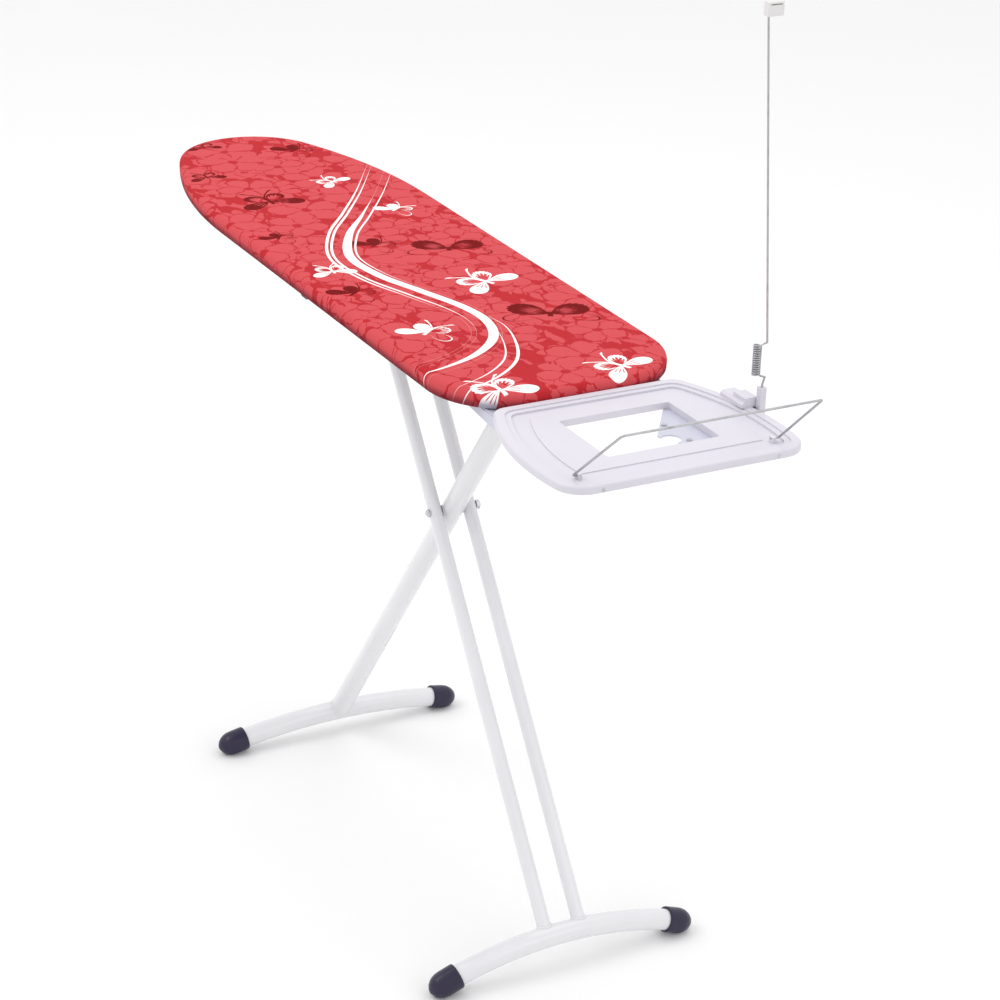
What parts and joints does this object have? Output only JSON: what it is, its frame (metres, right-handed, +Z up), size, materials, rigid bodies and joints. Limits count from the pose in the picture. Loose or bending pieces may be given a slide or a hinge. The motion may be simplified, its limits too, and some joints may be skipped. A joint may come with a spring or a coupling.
{
  "type": "ironing board",
  "caption": "Folding ironing board with a padded fabric cover, scissor stand on arched feet, iron rest tray with wire bail, and a sprung cord holder.",
  "frame": {"origin": "on the floor under the middle of the overall box", "axes": "+X from the board's round nose to the iron rest, +Y to the cord holder's side, +Z up"},
  "size_m": [1.6718, 0.463, 1.5265],
  "materials": {
    "core_plastic": "moulded grey-white, fine grain",
    "padding_foam": "soft foam",
    "cover_fabric": "printed cotton, matt",
    "hem_elastic": "ribbed elastic",
    "zinc_steel": "zinc plated sheet",
    "steel_wire": "bright drawn wire",
    "screw_steel": "zinc plated",
    "white_paint": "gloss powder coat",
    "painted_plate": "satin powder coat",
    "rest_plastic": "satin moulded",
    "white_plastic": "satin moulded",
    "clip_plastic": "satin moulded",
    "cap_plastic": "satin moulded"
  },
  "bodies": {
    "board": {"board_core": "core_plastic", "padding": "padding_foam", "cover": "cover_fabric", "hem_elastic": "hem_elastic", "track_rail_near": "zinc_steel", "track_rail_far": "zinc_steel", "guide_rod": "steel_wire", "rod_holder_front": "white_plastic", "rod_holder_rear": "white_plastic", "hinge_ear_near": "zinc_steel", "hinge_ear_far": "zinc_steel", "hinge_pin": "steel_wire", "iron_rest": "rest_plastic", "rest_bracket_near": "painted_plate", "rest_bracket_far": "painted_plate", "rest_screws": "screw_steel", "board_screws": "screw_steel", "edge_screws": "screw_steel", "bail_clip_near": "white_plastic", "bail_clip_far": "white_plastic", "mast_clamp": "rest_plastic", "mast_socket": "rest_plastic"},
    "rear_leg": {"rear_leg_tube": "white_paint", "rear_foot_tube": "white_paint", "rear_foot_cap_near": "cap_plastic", "rear_foot_cap_far": "cap_plastic", "hinge_bush": "white_plastic"},
    "front_leg": {"front_leg_tube_near": "white_paint", "front_leg_tube_far": "white_paint", "front_foot_tube": "white_paint", "front_foot_cap_near": "cap_plastic", "front_foot_cap_far": "cap_plastic", "crossing_bolt": "screw_steel", "crossing_nut": "screw_steel", "crossing_spacers": "white_plastic", "axle_sleeves": "white_plastic"},
    "carriage": {"carriage_axle": "steel_wire", "slide_block_near": "white_plastic", "slide_block_far": "white_plastic", "carriage_housing": "white_plastic", "brake_plates": "zinc_steel", "brake_spring": "steel_wire", "lever_pin": "steel_wire"},
    "release_lever": {"release_lever": "zinc_steel", "lever_grip": "cap_plastic"},
    "bail": {"bail_wire": "steel_wire"},
    "mast_base": {"mast_stem": "steel_wire", "mast_spring": "steel_wire"},
    "mast": {"mast_wire": "steel_wire", "cord_clip": "clip_plastic"}
  },
  "joints": [
    {"name": "leg_fold", "type": "hinge", "parent": "board", "child": "rear_leg", "pos_m": [0.30528, 0, 0.914], "axis": [0, 1, 0], "range_deg": [0, 50.6]},
    {"name": "crossing_pivot", "type": "hinge", "parent": "rear_leg", "child": "front_leg", "pos_m": [0.07663, 0, 0.605], "axis": [0, 1, 0], "range_deg": [-101.2, 0]},
    {"name": "carriage_pivot", "type": "hinge", "parent": "front_leg", "child": "carriage", "pos_m": [-0.15202, 0, 0.914], "axis": [0, 1, 0], "range_deg": [0, 50.6]},
    {"name": "lever_squeeze", "type": "hinge", "parent": "carriage", "child": "release_lever", "pos_m": [-0.18202, -0.012, 0.902], "axis": [1, 0, 0], "range_deg": [-3, 0], "stiffness_Nm_per_rad": 8, "springref_deg": 2.86},
    {"name": "bail_fold", "type": "hinge", "parent": "board", "child": "bail", "pos_m": [0.72663, 0, 0.9505], "axis": [0, 1, 0], "range_deg": [-134, 0]},
    {"name": "mast_swivel", "type": "hinge", "parent": "board", "child": "mast_base", "pos_m": [0.62213, 0.2, 0.97], "axis": [0, 0, 1], "continuous": true},
    {"name": "mast_flex", "type": "hinge", "parent": "mast_base", "child": "mast", "pos_m": [0.61734, 0.19122, 1.04404], "axis": [0, 1, 0], "range_deg": [-40, 40], "stiffness_Nm_per_rad": 0.8, "deforming": ["mast_spring"]}
  ],
  "couplings": [
    {"joint": "crossing_pivot", "follows": "leg_fold", "ratio": -2},
    {"joint": "carriage_pivot", "follows": "leg_fold", "ratio": 1}
  ]
}
